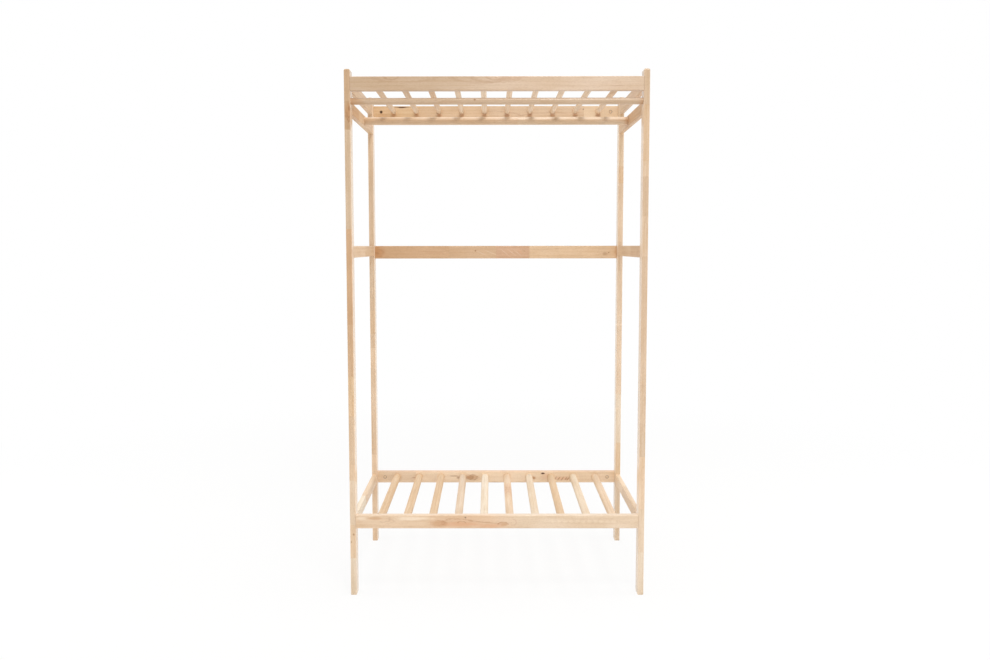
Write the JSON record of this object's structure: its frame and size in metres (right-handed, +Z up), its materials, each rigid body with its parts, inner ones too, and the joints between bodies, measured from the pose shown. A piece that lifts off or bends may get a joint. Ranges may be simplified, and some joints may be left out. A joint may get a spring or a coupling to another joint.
{
  "type": "open wardrobe frame",
  "caption": "Open freestanding wardrobe frame of pale solid wood: posts, side rails, a clothes rail, a curtain rod at the front, and slatted top and bottom shelves of round bars.",
  "frame": {"origin": "on the floor, under the middle of the frame: midway between the outer faces of the posts, and midway between front and back", "axes": "+Z up; +Y from the front to the back, so the front faces -Y; +X to the right, seen from the front"},
  "size_m": [1, 0.53, 1.768],
  "materials": {
    "post_wood": "untreated, sanded",
    "side_rail_wood": "untreated, sanded",
    "rail_wood": "untreated, sanded",
    "rod_wood": "untreated, turned and sanded",
    "bar_wood": "untreated, turned and sanded",
    "dowel_wood": "fluted, glued in",
    "bolt_steel": "zinc plated",
    "nut_steel": "zinc plated"
  },
  "bodies": {
    "root": {"front_left_post": "post_wood", "front_right_post": "post_wood", "rear_left_post": "post_wood", "rear_right_post": "post_wood", "top_left_side_rail": "side_rail_wood", "top_right_side_rail": "side_rail_wood", "left_rod_rail": "side_rail_wood", "right_rod_rail": "side_rail_wood", "middle_left_side_rail": "side_rail_wood", "middle_right_side_rail": "side_rail_wood", "bottom_left_side_rail": "side_rail_wood", "bottom_right_side_rail": "side_rail_wood", "top_front_board": "rail_wood", "top_back_board": "rail_wood", "middle_back_rail": "rail_wood", "bottom_front_rail": "rail_wood", "bottom_back_rail": "rail_wood", "curtain_rod": "rod_wood", "clothes_rail": "rod_wood", "top_shelf_bar_1": "bar_wood", "top_shelf_bar_2": "bar_wood", "top_shelf_bar_3": "bar_wood", "top_shelf_bar_4": "bar_wood", "top_shelf_bar_5": "bar_wood", "top_shelf_bar_6": "bar_wood", "top_shelf_bar_7": "bar_wood", "top_shelf_bar_8": "bar_wood", "top_shelf_bar_9": "bar_wood", "top_shelf_bar_10": "bar_wood", "bottom_shelf_bar_1": "bar_wood", "bottom_shelf_bar_2": "bar_wood", "bottom_shelf_bar_3": "bar_wood", "bottom_shelf_bar_4": "bar_wood", "bottom_shelf_bar_5": "bar_wood", "bottom_shelf_bar_6": "bar_wood", "bottom_shelf_bar_7": "bar_wood", "bottom_shelf_bar_8": "bar_wood", "bottom_shelf_bar_9": "bar_wood", "bottom_shelf_bar_10": "bar_wood", "connector_bolts": "bolt_steel", "barrel_nuts": "nut_steel", "rail_dowels": "dowel_wood", "side_rail_dowels": "dowel_wood"}
  },
  "joints": []
}
